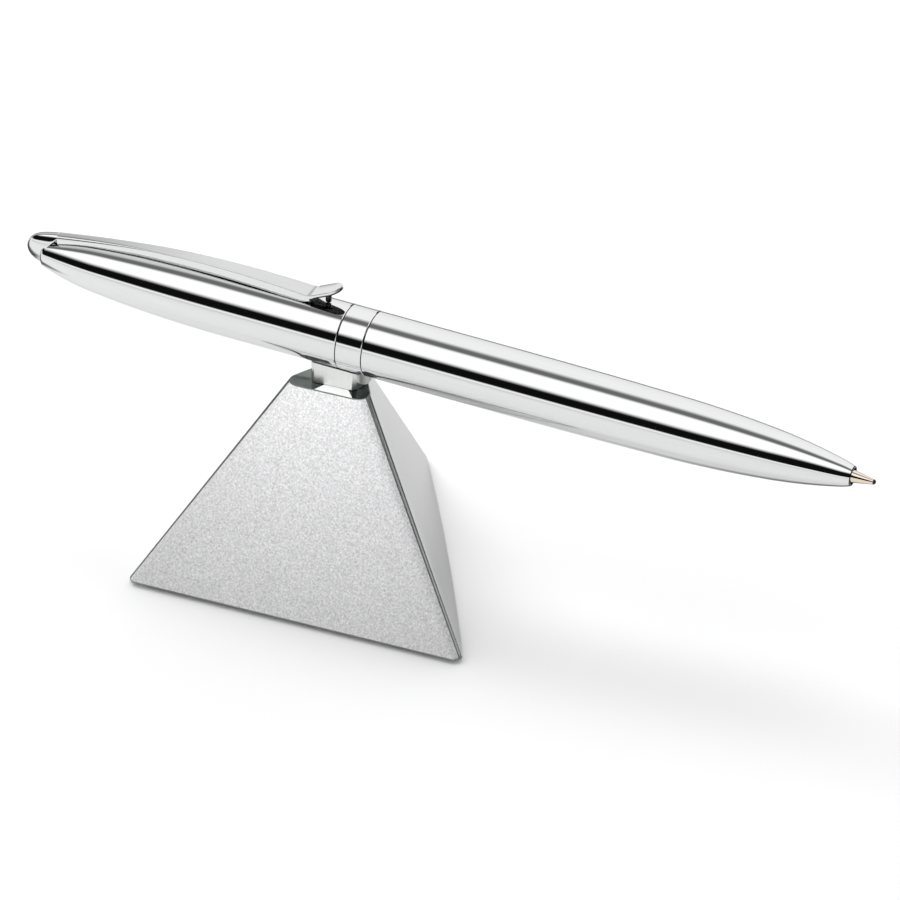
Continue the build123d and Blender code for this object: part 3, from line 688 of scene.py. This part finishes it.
def strapGrid():
    # plan outline (length along, half width across) moved inwards row by row: top, rounded edge, side,
    # underside; each row is (plan, depth)
    c = clip
    total = pathLength[-1]
    roundLength = c["fullHalf"] / math.cos(math.radians(c["tongueAngle"]))
    foldStart = foldLength - c["foldReach"] * c["bend"]
    foldEnd = foldLength + c["foldReach"] * c["bend"]
    along = np.concatenate([
        np.linspace(c["start"], foldStart, c["archSteps"])[:-1],
        np.linspace(foldStart, foldEnd, c["foldSteps"])[:-1],
        np.linspace(foldEnd, total - roundLength, c["tongueSteps"])[:-1],
        total - roundLength + roundLength * np.sin(quarterTurn(c["endSteps"])),
    ])
    endShare = np.clip((along - (total - roundLength)) / roundLength, 0.0, 1.0)
    half = strapHalf(along) * np.sqrt(1.0 - endShare ** 2)
    plan = np.concatenate([pairUp(along, -half), pairUp(along, half)[-2::-1]])
    forward = np.gradient(plan, axis=0)
    forward /= np.linalg.norm(forward, axis=1, keepdims=True)
    inward = pairUp(-forward[:, 1], forward[:, 0])
    spineReach = np.minimum(plan[:, 0], total - c["spineEnd"] * roundLength)
    spine = pairUp(spineReach, np.zeros_like(spineReach))
    rootShare = 1.0 - smoothRise(plan[:, :1], c["start"], np.interp(c["roundEnd"], pathStation, pathLength))
    roundWidth = c["edgeRound"] + (c["rootRound"][0] - c["edgeRound"]) * rootShare
    roundDepth = c["edgeRound"] + (c["rootRound"][1] - c["edgeRound"]) * rootShare[:, 0]
    rows = [(spine, 0.0)]
    for tilt in quarterTurn(c["upperRows"]):  # rounded over its whole width at the root
        rows.append((plan + inward * roundWidth * (1 - math.sin(tilt)), roundDepth * (1 - math.cos(tilt))))
    thinning = c["thinReach"] * c["bend"]
    tongueShare = smoothRise(plan[:, 0], foldLength - thinning, foldLength + thinning)
    thickness = strapDepth(plan[:, 0]) * (1 - tongueShare) + c["tongueThickness"] * tongueShare
    rows.append((plan, (roundDepth + thickness) / 2))
    for tilt in quarterTurn(c["lowerRows"]):
        drop = thickness - c["edgeRound"] * (1 - math.sin(tilt))
        rows.append((plan + inward * (c["edgeRound"] * (1 - math.cos(tilt))), drop))
    rows += [(plan + inward * c["underEdge"], thickness),
             (spine, thickness - c["hollow"] * (1 - tongueShare))]
    grid = np.stack([strapPoints(row[:, 0], row[:, 1], depth) for row, depth in rows])
    plain, dark, paintedHighlight = range(len(c["finishes"]))
    onTongue = plan[:, 0] > foldLength
    sideStart = c["upperRows"]
    finish = np.full((len(rows) - 1, len(plan)), plain)
    # painted highlight: the tongue's top and the strap's sides take the lighter pen chrome, the strap's top
    # the darker clip chrome
    finish[:sideStart, onTongue] = paintedHighlight
    finish[sideStart:sideStart + c["lowerRows"]] = paintedHighlight
    # painted shade: the lower half of the tongue's edge and its underside take the near-black finish
    finish[sideStart + 1:, onTongue] = dark  # lower half of the tongue's edge and its underside
    return grid, finish


def nubGrid():
    # small round peg under the tongue: rings about an upright line, with a rounded foot
    c = clip
    station = c["fold"][0] + c["nubReach"]
    top = np.interp(station, pathStation, pathHeight) - c["tongueThickness"] / 2
    tilt = quarterTurn(c["nubRows"])
    radius = np.concatenate([c["nubRadius"] * np.sin(tilt), [c["nubRadius"], 0.0]])[:, None]
    height = np.concatenate([c["nubFoot"] + c["nubRadius"] / 2 * (1 - np.cos(tilt)), [top, top]])[:, None]
    angle = evenTurn(c["nubSteps"])
    return penPoints(station + radius * np.cos(angle), radius * np.sin(angle), height)


bladeGrid, bladeFinish = strapGrid()
# painted shade: the nub under the tongue takes the near-black finish
nubPaintedShade = clip["finishes"].index("carbideAndPaintedShade")
makePiece("clip_blade", [(bladeGrid, False), (nubGrid(), False)], clip["finishes"],
          "clip", ["clip_strap"], [bladeFinish, nubPaintedShade])

# crown: thumb-shaped hood with a narrow ridge that runs on into the clip, flat sides and a round foot;
# bends = (angle of the outward normal at the end of a stretch of the section, its radius), ridge first
crown = {
    "length": 3.4, "dome": 4.8, "domePower": 2.1, "centre": 0.6, "top": 3.75,
    "bends": ((37.0, 0.89), (20.0, 2.5), (14.0, 5.0), (-25.0, 5.3)),
    "rimLean": 1.7, "leanFrom": 1.2, "leanPower": 3, "backRound": 0.15, "backHalf": 2.5,
    "stud": 1.0, "studEnd": 10.5, "bendSteps": 14, "domeRows": 37, "backRows": 5,
}


def crownSection():
    # half section from the ridge down: arcs by the angle of the outward normal, the last one with the radius
    # that brings it back to the middle; then the same mirrored
    angles = np.radians([90.0] + [angle for angle, radius in crown["bends"]] + [-90.0])
    radii = [radius for angle, radius in crown["bends"]]
    halfWidth = sum(r * (math.cos(b) - math.cos(a)) for a, b, r in zip(angles, angles[1:], radii))
    radii.append(halfWidth / math.cos(angles[-2]))
    place = np.array([0.0, crown["top"]])
    rows = [place[None]]
    for first, last, radius in zip(angles, angles[1:], radii):
        angle = first + (last - first) * np.linspace(0.0, 1.0, crown["bendSteps"] + 1)[1:]
        rows.append(place + radius * (unitTurn(angle) - (math.cos(first), math.sin(first))))
        place = rows[-1][-1]
    half = np.concatenate(rows)
    return np.concatenate([half, (half * (-1.0, 1.0))[-2:0:-1]])


def crownGrid():
    # the section grows from a point along a blunt dome, its rim leans forwards at the ridge, and behind the
    # rim it shrinks to the stud
    c = crown
    section = crownSection() - (0.0, c["centre"])
    station = c["length"] * (1 - np.cos(quarterTurn(c["domeRows"])))
    full = (1 - (1 - c["length"] / c["dome"]) ** c["domePower"]) ** (1 / c["domePower"])
    scale = (1 - np.abs(1 - station / c["dome"]) ** c["domePower"]) ** (1 / c["domePower"]) / full
    turn = quarterTurn(c["backRows"] + 1)[1:]
    station = np.concatenate([station, c["length"] + c["backRound"] * np.sin(turn)])
    scale = np.concatenate([scale, 1 - c["backRound"] / c["backHalf"] * (1 - np.cos(turn))])
    across, height = scale[:, None] * section[:, 0], c["centre"] + scale[:, None] * section[:, 1]
    forward = (station / c["length"])[:, None] ** c["leanPower"]
    lean = c["rimLean"] * smoothRise(height, c["leanFrom"], c["top"]) * forward
    hood = penPoints(station[:, None] + lean, across, height + lean * math.tan(pathHeading[0]))
    ring = section / np.linalg.norm(section, axis=1, keepdims=True)
    studStart = c["length"] + c["backRound"]
    reach = np.array([(studStart, c["stud"]), (c["studEnd"], c["stud"]), (c["studEnd"], 0.0)])
    stud = penPoints(reach[:, :1], reach[:, 1:] * ring[:, 0], reach[:, 1:] * ring[:, 1])
    return np.concatenate([hood, stud])


makePiece("crown_hood", [(crownGrid(), False)], ["chromeCrown"],
          "cap", ["crown", "clip_ring"])

# writing point: stations and radii in mm of the cone, its rolled lip and the ball
point = {
    "stubStart": 112.0, "stub": 1.15, "coneStart": 132.6, "cone": 1.0, "lip": 0.42, "end": 136.1,
    "duct": 0.25, "ball": 0.4, "shoulderRound": 0.1,
    "lipLength": 0.1, "lipRoll": 0.01, "seatLap": 0.02, "seatDepth": 0.3,
    "shoulderRows": 5, "coneRows": 8, "coneSteps": 72, "ballRows": 25, "ballSteps": 48,
}


def pointProfile():
    # stub, rounded shoulder, straight cone, rolled lip round the ball, ink duct
    p = point
    turn = quarterTurn(p["shoulderRows"])
    shoulder = pairUp(p["coneStart"] + p["shoulderRound"] * np.sin(turn),
                      p["stub"] - p["shoulderRound"] * (1 - np.cos(turn)))
    coneTop = (p["coneStart"] + 2 * p["shoulderRound"], p["cone"])
    cone = np.linspace(coneTop, (p["end"] - p["lipLength"], p["lip"]), p["coneRows"])
    return np.concatenate([
        [(p["stubStart"], p["duct"]), (p["stubStart"], p["stub"])], shoulder, cone,
        [(p["end"], p["lip"] - p["lipRoll"]), (p["end"], p["ball"] - p["seatLap"]),
         (p["end"] - p["seatDepth"], p["duct"])],
    ])


def ballProfile():
    # half circle about the end of the point: station = end - radius cos tilt, radius = radius sin tilt
    tilt = np.linspace(0.0, math.pi, point["ballRows"])
    return pairUp(point["end"] - point["ball"] * np.cos(tilt), point["ball"] * np.sin(tilt))


makePiece("point_cone", [(revolve(pointProfile(), point["coneSteps"]), True)], ["tipAlloy"],
          "refill", ["refill_tip"])
makePiece("point_ball", [(revolve(ballProfile(), point["ballSteps"]), False)], ["carbideAndPaintedShade"],
          "refill", ["writing_ball"])

# studio: the floor and its parts in metres, then levels of light by direction
studio = {
    "floorHalf": 3.0, "floorHeight": -0.0002, "floorTone": 0.86, "cameraGlow": 0.02, "mirrorGlow": 0.12,
    # floor patches that reflections alone see dark, as painted shade: far behind, to the right and to the
    # left of the stand
    "farFrom": (0.22, 0.30), "rightFrom": (0.0, 0.075), "rightSlant": 0.5,
    "rightBack": (-0.005, 0.012), "rightEnd": (0.038, 0.052),
    "leftFloor": (0.076, 0.086), "leftBack": (-0.030, -0.010), "leftEnd": (0.030, 0.045),
    "reflectedShadeLevel": 0.20,
    "darkFrom": (0.06, 0.135), "darkTo": (0.47, 0.67), "dark": 0.006, "softBox": 1.5,
    "widerFrom": (-0.20, 0.20), "wider": 0.15,
    "low": 1.24, "lowRight": 0.35, "lowRightFrom": (0.6, 0.8),
    "leftFrom": (0.86, 0.94), "leftTop": (0.02, 0.22), "left": 1.0,
    "gapFrom": (-0.22, -0.03), "gapTo": (0.12, 0.42), "gapRise": (0.4, 0.55), "gap": 0.20, "leastUp": 0.05,
    "backFrom": (0.10, 0.30), "back": 1.28, "backLow": 1.25, "backRise": (0.17, 0.30),
    "cornerFrom": (0.50, 0.62), "cornerTo": (0.04, 0.10), "corner": 0.03,
    "sideFrom": (0.15, 0.30), "sideTo": (0.14, 0.24), "side": 0.05,
    "shadeFrom": (0.30, 0.56), "shade": 0.70,
}

# soft lamps overhead, at the back left and close to the blasted face
lamps = {
    "overheadLamp": {"place": (0.02, 0.15, 0.9), "aim": (0.0, 0.0, 0.0), "size": 0.5, "power": 1.8},
    "sideLamp": {"place": (-0.52, 0.18, 0.60), "aim": (0.0, 0.0, 0.0), "size": 0.35, "power": 2.0},
    "faceLamp": {"place": (-0.004, -0.040, 0.070), "aim": (0.0, -0.005, 0.03), "size": 0.03, "power": 0.052},
}


def riseNode(tree, value, limits):
    # the same smooth rise as smoothRise, as a node
    return addNode(tree, "MapRange", {"Value": value, "From Min": limits[0], "From Max": limits[1]},
                   interpolation_type="SMOOTHSTEP").outputs["Result"]


def mixNode(tree, share, first, second):
    # first where the share is 0, second where it is 1
    inputs = {"Factor": share, valueSockets[0]: first, valueSockets[1]: second}
    return addNode(tree, "Mix", inputs, data_type="FLOAT").outputs[valueSockets[2]]


def mathNode(tree, operation, first, second):
    # one operation on two values
    return addNode(tree, "Math", {0: first, 1: second}, operation=operation).outputs[0]


def stripNode(tree, value, rise, fall):
    # 1 between the rise and the fall, 0 outside them
    return mathNode(tree, "SUBTRACT", riseNode(tree, value, rise), riseNode(tree, value, fall))


def cornerNode(tree, value, rise, other, fall):
    # the value's rise x (1 - the other's rise): 1 where the value is high and the other low
    low = mathNode(tree, "SUBTRACT", 1.0, riseNode(tree, other, fall))
    return mathNode(tree, "MULTIPLY", low, riseNode(tree, value, rise))


def makeWorld():
    # black band low in front with a soft box above it and a pale window far left, pale wall behind with dark
    # low corners, grey gap overhead; white for the camera
    s = studio
    world = bpy.data.worlds.new("studio")
    world.use_nodes = True
    tree = world.node_tree
    tree.nodes.clear()
    place = addNode(tree, "TexCoord", {})
    axes = addNode(tree, "SeparateXYZ", {0: place.outputs["Generated"]})
    right = axes.outputs["X"]
    left = mathNode(tree, "MULTIPLY", right, -1.0)
    back, up = axes.outputs["Y"], axes.outputs["Z"]
    leftShare = cornerNode(tree, left, s["leftFrom"], up, s["leftTop"])
    band = mixNode(tree, leftShare, s["dark"], s["left"])
    wider = mathNode(tree, "MULTIPLY", riseNode(tree, right, s["widerFrom"]), s["wider"])
    bandShare = riseNode(tree, mathNode(tree, "SUBTRACT", up, wider), s["darkTo"])
    front = mixNode(tree, bandShare, band, s["softBox"])
    low = mixNode(tree, riseNode(tree, right, s["lowRightFrom"]), s["low"], s["lowRight"])
    front = mixNode(tree, riseNode(tree, up, s["darkFrom"]), low, front)
    wall = mixNode(tree, riseNode(tree, left, s["shadeFrom"]), s["back"], s["shade"])
    leftCorner = cornerNode(tree, left, s["cornerFrom"], up, s["cornerTo"])
    backLow = mixNode(tree, leftCorner, s["backLow"], s["corner"])
    rightCorner = cornerNode(tree, right, s["sideFrom"], up, s["sideTo"])
    backLow = mixNode(tree, rightCorner, backLow, s["side"])
    behind = mixNode(tree, riseNode(tree, up, s["backRise"]), backLow, wall)
    level = mixNode(tree, riseNode(tree, back, s["backFrom"]), front, behind)
    lean = mathNode(tree, "DIVIDE", back, mathNode(tree, "MAXIMUM", up, s["leastUp"]))
    gap = cornerNode(tree, lean, s["gapFrom"], lean, s["gapTo"])
    gap = mathNode(tree, "MULTIPLY", gap, riseNode(tree, up, s["gapRise"]))
    level = mixNode(tree, gap, level, s["gap"])
    rays = addNode(tree, "LightPath", {})
    level = mixNode(tree, rays.outputs["Is Camera Ray"], level, 1.0)
    sky = addNode(tree, "Background", {"Color": level})
    addNode(tree, "OutputWorld", {"Surface": sky.outputs[0]})
    bpy.context.scene.world = world


def stagePlane(name, half, height, material):
    # level square about the origin, from -half to half each way
    corners = [(-half, -half, height), (half, -half, height), (half, half, height), (-half, half, height)]
    mesh = bpy.data.meshes.new(name)
    mesh.from_pydata(corners, [], [(0, 1, 2, 3)])
    mesh.materials.append(material)
    plane = addObject(name, mesh)


def makeFloor():
    # white floor that glows a little for the camera and in reflections and keeps the shadow; in reflections
    # alone it turns dark far behind the stand and beside it, as painted shade
    s = studio
    material = bpy.data.materials.new("paleFloor")
    material.use_nodes = True
    tree = material.node_tree
    tree.nodes.clear()
    rays = addNode(tree, "LightPath", {})
    mirrored = mathNode(tree, "MAXIMUM", rays.outputs["Is Glossy Ray"], rays.outputs["Is Transmission Ray"])
    cameraGlow = mathNode(tree, "MULTIPLY", rays.outputs["Is Camera Ray"], s["cameraGlow"])
    mirrorGlow = mathNode(tree, "MULTIPLY", mirrored, s["mirrorGlow"])
    glowLevel = mathNode(tree, "ADD", cameraGlow, mirrorGlow)
    plain = addNode(tree, "BsdfDiffuse", {"Color": (s["floorTone"],) * 3 + (1.0,)})
    glow = addNode(tree, "Emission", {"Strength": glowLevel})
    both = addNode(tree, "AddShader", {0: plain.outputs[0], 1: glow.outputs[0]})
    place = addNode(tree, "TexCoord", {})
    axes = addNode(tree, "SeparateXYZ", {0: place.outputs["Object"]})
    across, back = axes.outputs["X"], axes.outputs["Y"]
    slant = mathNode(tree, "MULTIPLY", back, s["rightSlant"])
    right = riseNode(tree, mathNode(tree, "SUBTRACT", across, slant), s["rightFrom"])
    right = mathNode(tree, "MULTIPLY", right, stripNode(tree, back, s["rightBack"], s["rightEnd"]))
    left = riseNode(tree, mathNode(tree, "MULTIPLY", across, -1.0), s["leftFloor"])
    left = mathNode(tree, "MULTIPLY", left, stripNode(tree, back, s["leftBack"], s["leftEnd"]))
    sides = mathNode(tree, "MAXIMUM", left, right)
    reflectedShadeShare = mathNode(tree, "MAXIMUM", sides, riseNode(tree, back, s["farFrom"]))
    reflectedShadeShare = mathNode(tree, "MULTIPLY", reflectedShadeShare, rays.outputs["Is Glossy Ray"])
    # painted shade: reflections see these patches as a dark sheet
    dark = addNode(tree, "Emission", {"Color": (s["reflectedShadeLevel"],) * 3 + (1.0,)})
    whole = addNode(tree, "MixShader", {0: reflectedShadeShare, 1: both.outputs[0], 2: dark.outputs[0]})
    addNode(tree, "OutputMaterial", {"Surface": whole.outputs[0]})
    stagePlane("floor", s["floorHalf"], s["floorHeight"], material)


def makeLamp(name, look):
    # round lamp that points from its place to its aim, unseen by the camera and in reflections
    lamp = bpy.data.lights.new(name, "AREA")
    lamp.shape = "DISK"
    lamp.size = look["size"]
    lamp.energy = look["power"]
    holder = addObject(name, lamp)
    holder.location = look["place"]
    holder.rotation_euler = (Vector(look["aim"]) - Vector(look["place"])).to_track_quat("-Z", "Y").to_euler()
    holder.visible_glossy = holder.visible_camera = False
    return holder


def makeLamps():
    # the close lamp lights the frustum alone, so that its face fades downwards and the floor stays even
    holders = {name: makeLamp(name, look) for name, look in lamps.items()}
    lit = bpy.data.collections.new("litByFaceLamp")
    lit.objects.link(bpy.data.objects["frustum_shell"])
    holders["faceLamp"].light_linking.receiver_collection = lit


makeWorld()
makeFloor()
makeLamps()
print("studio set")

# camera at the photograph's viewing angle, aimed at a point beside the post
camera = {"azimuth": 23.18, "elevation": 33.02, "distance": 1.0, "aim": (0.01864, 0.0, 0.02582),
          "lens": 269.1, "clipStart": 0.01}


def makeCamera():
    # backward = direction from the aim by azimuth and elevation, side = level, upward = square to both
    turn, lift = math.radians(camera["azimuth"]), math.radians(camera["elevation"])
    backward = Vector((math.sin(turn) * math.cos(lift), -math.cos(turn) * math.cos(lift), math.sin(lift)))
    side = Vector((math.cos(turn), math.sin(turn), 0.0))
    upward = backward.cross(side)
    data = bpy.data.cameras.new("photoCamera")
    data.lens = camera["lens"]
    data.clip_start = camera["clipStart"]
    holder = addObject("photoCamera", data)
    turned = Matrix((side, upward, backward)).transposed().to_4x4()
    holder.matrix_world = Matrix.Translation(Vector(camera["aim"]) + backward * camera["distance"]) @ turned
    bpy.context.scene.camera = holder


makeCamera()
bpy.context.scene.view_settings.view_transform = "Standard"
